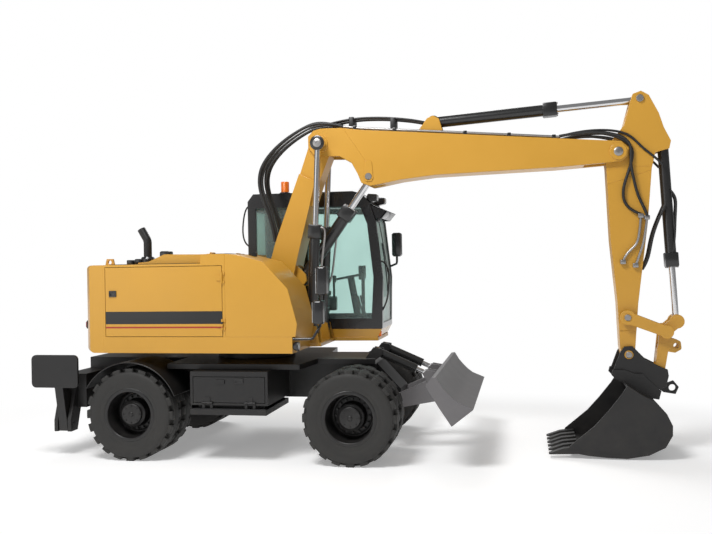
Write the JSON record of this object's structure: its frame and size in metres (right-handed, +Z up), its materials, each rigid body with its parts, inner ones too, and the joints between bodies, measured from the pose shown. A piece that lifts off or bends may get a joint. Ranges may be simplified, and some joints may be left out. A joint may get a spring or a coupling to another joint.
{
  "type": "wheeled excavator",
  "caption": "Wheeled excavator with a two-piece boom, stick and bucket on a slewing upper body with cab, a front blade, rear outriggers and lugged twin tyres.",
  "frame": {"origin": "On the ground at the middle of the machine's overall length and width.", "axes": "+X is forward, toward the blade and the arm; +Y is to the machine's left; +Z is up."},
  "size_m": [7.266, 2.536, 4.04],
  "materials": {
    "yellow_paint": "satin",
    "undercarriage_paint": "satin",
    "machine_steel": "matte",
    "ram_barrel": "gloss",
    "chrome_rod": "polished",
    "tyre_rubber": "matte",
    "cab_black": "gloss",
    "cab_glass": "gloss",
    "seat_fabric": "matte",
    "beacon_amber": "gloss",
    "lamp_lens": "gloss"
  },
  "bodies": {
    "undercarriage": {"chassis_frame": "undercarriage_paint", "side_boxes": "undercarriage_paint", "slew_ring": "machine_steel", "front_axle": "undercarriage_paint", "rear_axle": "undercarriage_paint", "rear_mudguards": "undercarriage_paint"},
    "knuckle_left": {"knuckle_left": "undercarriage_paint"},
    "knuckle_right": {"knuckle_right": "undercarriage_paint"},
    "track_rod": {"track_rod": "undercarriage_paint"},
    "wheel_front_left": {"tyres_front_left": "tyre_rubber", "rims_front_left": "undercarriage_paint"},
    "wheel_front_right": {"tyres_front_right": "tyre_rubber", "rims_front_right": "undercarriage_paint"},
    "wheel_rear_left": {"tyres_rear_left": "tyre_rubber", "rims_rear_left": "undercarriage_paint"},
    "wheel_rear_right": {"tyres_rear_right": "tyre_rubber", "rims_rear_right": "undercarriage_paint"},
    "blade": {"dozer_blade": "undercarriage_paint"},
    "blade_ram_barrel": {"blade_ram_barrels": "ram_barrel"},
    "blade_ram_rod": {"blade_ram_rods": "chrome_rod"},
    "outrigger_left": {"outrigger_left": "undercarriage_paint"},
    "outrigger_right": {"outrigger_right": "undercarriage_paint"},
    "toolbox_lid": {"toolbox_lid": "undercarriage_paint"},
    "upper": {"upper_frame": "yellow_paint", "counterweight": "yellow_paint", "engine": "machine_steel", "body_shell": "yellow_paint", "tank_housing": "yellow_paint", "exhaust_pipe": "machine_steel", "cab_shell": "cab_black", "cab_glass": "cab_glass", "operator_seat": "seat_fabric", "steering_column": "cab_black", "beacon": "beacon_amber", "work_lamps": "lamp_lens"},
    "engine_hood": {"engine_hood": "yellow_paint"},
    "service_door_right": {"service_door_right": "yellow_paint"},
    "service_door_left": {"service_door_left": "yellow_paint"},
    "cab_door": {"cab_door": "cab_black", "door_glass": "cab_glass"},
    "boom_base": {"boom_base": "yellow_paint"},
    "boom_front": {"boom_front": "yellow_paint"},
    "stick": {"stick": "yellow_paint"},
    "bucket": {"bucket": "machine_steel", "quick_coupler": "machine_steel"},
    "lift_ram_barrel": {"lift_ram_barrels": "ram_barrel"},
    "lift_ram_rod": {"lift_ram_rods": "chrome_rod"},
    "adjust_ram_barrel": {"adjust_ram_barrel": "ram_barrel"},
    "adjust_ram_rod": {"adjust_ram_rod": "chrome_rod"},
    "crowd_ram_barrel": {"crowd_ram_barrel": "ram_barrel"},
    "crowd_ram_rod": {"crowd_ram_rod": "chrome_rod"},
    "curl_ram_barrel": {"curl_ram_barrel": "ram_barrel"},
    "curl_ram_rod": {"curl_ram_rod": "chrome_rod"},
    "idler_links": {"idler_links": "yellow_paint"},
    "power_link": {"power_link": "yellow_paint"}
  },
  "joints": [
    {"name": "steer", "type": "hinge", "parent": "undercarriage", "child": "knuckle_left", "pos_m": [0.035, 0.59, 0.515], "axis": [0, 0, 1], "range_deg": [-28, 28]},
    {"name": "steer_right", "type": "hinge", "parent": "undercarriage", "child": "knuckle_right", "pos_m": [0.035, -0.59, 0.515], "axis": [0, 0, 1], "range_deg": [-29, 29]},
    {"name": "track_rod_slide", "type": "slide", "parent": "undercarriage", "child": "track_rod", "axis": [0, 1, 0], "range_m": [-0.12, 0.12]},
    {"name": "wheel_front_left_spin", "type": "hinge", "parent": "knuckle_left", "child": "wheel_front_left", "pos_m": [0.035, 0, 0.515], "axis": [0, 1, 0], "continuous": true},
    {"name": "wheel_front_right_spin", "type": "hinge", "parent": "knuckle_right", "child": "wheel_front_right", "pos_m": [0.035, 0, 0.515], "axis": [0, 1, 0], "continuous": true},
    {"name": "wheel_rear_left_spin", "type": "hinge", "parent": "undercarriage", "child": "wheel_rear_left", "pos_m": [-2.465, 0, 0.515], "axis": [0, 1, 0], "continuous": true},
    {"name": "wheel_rear_right_spin", "type": "hinge", "parent": "undercarriage", "child": "wheel_rear_right", "pos_m": [-2.465, 0, 0.515], "axis": [0, 1, 0], "continuous": true},
    {"name": "blade_lift", "type": "hinge", "parent": "undercarriage", "child": "blade", "pos_m": [0.375, 0, 0.56], "axis": [0, 1, 0], "range_deg": [0, 47]},
    {"name": "blade_ram_swing", "type": "hinge", "parent": "undercarriage", "child": "blade_ram_barrel", "pos_m": [0.195, 0, 1.135], "axis": [0, 1, 0], "range_deg": [-1, 20.1]},
    {"name": "blade_ram_slide", "type": "slide", "parent": "blade_ram_barrel", "child": "blade_ram_rod", "axis": [0.9158, 0, -0.4017], "range_m": [-0.01, 0.334]},
    {"name": "outrigger_left_lower", "type": "hinge", "parent": "undercarriage", "child": "outrigger_left", "pos_m": [-3.36, 1.03, 0.345], "axis": [-1, 0, 0], "range_deg": [0, 105]},
    {"name": "outrigger_right_lower", "type": "hinge", "parent": "undercarriage", "child": "outrigger_right", "pos_m": [-3.36, -1.03, 0.345], "axis": [1, 0, 0], "range_deg": [0, 105]},
    {"name": "slew", "type": "hinge", "parent": "undercarriage", "child": "upper", "pos_m": [-1.365, 0, 1.125], "axis": [0, 0, 1], "continuous": true},
    {"name": "boom_lift", "type": "hinge", "parent": "upper", "child": "boom_base", "pos_m": [-1.165, 0, 1.56], "axis": [0, -1, 0], "range_deg": [-56, 7]},
    {"name": "lift_ram_swing", "type": "hinge", "parent": "upper", "child": "lift_ram_barrel", "pos_m": [-0.59, 0, 1.385], "axis": [0, -1, 0], "range_deg": [-59.9, 8.4]},
    {"name": "lift_ram_slide", "type": "slide", "parent": "lift_ram_barrel", "child": "lift_ram_rod", "axis": [0.0485, 0, 0.9988], "range_m": [-0.564, 0.079]},
    {"name": "boom_adjust", "type": "hinge", "parent": "boom_base", "child": "boom_front", "pos_m": [-0.483, 0, 3.59], "axis": [0, 1, 0], "range_deg": [-55, 19]},
    {"name": "adjust_ram_swing", "type": "hinge", "parent": "boom_base", "child": "adjust_ram_barrel", "pos_m": [-0.765, 0, 1.985], "axis": [0, 1, 0], "range_deg": [-7.4, 3.2]},
    {"name": "adjust_ram_slide", "type": "slide", "parent": "adjust_ram_barrel", "child": "adjust_ram_rod", "axis": [0.5825, 0, 0.8129], "range_m": [-0.225, 0.633]},
    {"name": "stick_crowd", "type": "hinge", "parent": "boom_front", "child": "stick", "pos_m": [2.933, 0, 3.364], "axis": [0, -1, 0], "range_deg": [-18, 80]},
    {"name": "crowd_ram_swing", "type": "hinge", "parent": "boom_front", "child": "crowd_ram_barrel", "pos_m": [0.861, 0, 3.814], "axis": [0, -1, 0], "range_deg": [-3.3, 1.5]},
    {"name": "crowd_ram_slide", "type": "slide", "parent": "crowd_ram_barrel", "child": "crowd_ram_rod", "axis": [0.9981, 0, 0.0612], "range_m": [-0.794, 0.186]},
    {"name": "bucket_curl", "type": "hinge", "parent": "stick", "child": "bucket", "pos_m": [3.014, 0, 1.092], "axis": [0, -1, 0], "range_deg": [-50, 90]},
    {"name": "idler_swing", "type": "hinge", "parent": "stick", "child": "idler_links", "pos_m": [3.003, 0, 1.51], "axis": [0, -1, 0], "range_deg": [-43.3, 77.1]},
    {"name": "power_link_swing", "type": "hinge", "parent": "idler_links", "child": "power_link", "pos_m": [3.416, 0, 1.349], "axis": [0, -1, 0], "range_deg": [-67.6, 38]},
    {"name": "curl_ram_swing", "type": "hinge", "parent": "stick", "child": "curl_ram_barrel", "pos_m": [3.43, 0, 3.452], "axis": [0, -1, 0], "range_deg": [-1.9, 2.7]},
    {"name": "curl_ram_slide", "type": "slide", "parent": "curl_ram_barrel", "child": "curl_ram_rod", "axis": [0.0566, 0, -0.9984], "range_m": [-0.533, 0.3]},
    {"name": "cab_door_open", "type": "hinge", "parent": "upper", "child": "cab_door", "pos_m": [-1.032, 1.214, 2], "axis": [0, 0, 1], "range_deg": [0, 95]},
    {"name": "service_door_right_open", "type": "hinge", "parent": "upper", "child": "service_door_right", "pos_m": [-1.373, -1.209, 1.8], "axis": [0, 0, 1], "range_deg": [0, 100]},
    {"name": "service_door_left_open", "type": "hinge", "parent": "upper", "child": "service_door_left", "pos_m": [-1.634, 1.209, 1.8], "axis": [0, 0, -1], "range_deg": [0, 100]},
    {"name": "engine_hood_open", "type": "hinge", "parent": "upper", "child": "engine_hood", "pos_m": [-1.622, 0, 2.306], "axis": [0, 1, 0], "range_deg": [0, 60]},
    {"name": "toolbox_lid_open", "type": "hinge", "parent": "undercarriage", "child": "toolbox_lid", "pos_m": [-1.365, -1.209, 0.658], "axis": [1, 0, 0], "range_deg": [0, 95]}
  ],
  "couplings": [
    {"joint": "steer_right", "follows": "steer", "ratio": 1},
    {"joint": "track_rod_slide", "follows": "steer", "m_per_rad": -0.20654},
    {"joint": "blade_ram_swing", "follows": "blade_lift", "ratio": 0.40726},
    {"joint": "blade_ram_slide", "follows": "blade_lift", "m_per_rad": 0.39528},
    {"joint": "lift_ram_swing", "follows": "boom_lift", "ratio": 1.0512},
    {"joint": "lift_ram_slide", "follows": "boom_lift", "m_per_rad": 0.56682},
    {"joint": "adjust_ram_swing", "follows": "boom_adjust", "ratio": 0.11596},
    {"joint": "adjust_ram_slide", "follows": "boom_adjust", "m_per_rad": -0.64891},
    {"joint": "crowd_ram_swing", "follows": "stick_crowd", "ratio": -0.028878},
    {"joint": "crowd_ram_slide", "follows": "stick_crowd", "m_per_rad": -0.56158},
    {"joint": "idler_swing", "follows": "bucket_curl", "ratio": 0.84537},
    {"joint": "power_link_swing", "follows": "bucket_curl", "ratio": -0.74052},
    {"joint": "curl_ram_swing", "follows": "bucket_curl", "ratio": 0.018479},
    {"joint": "curl_ram_slide", "follows": "bucket_curl", "m_per_rad": -0.33279}
  ]
}
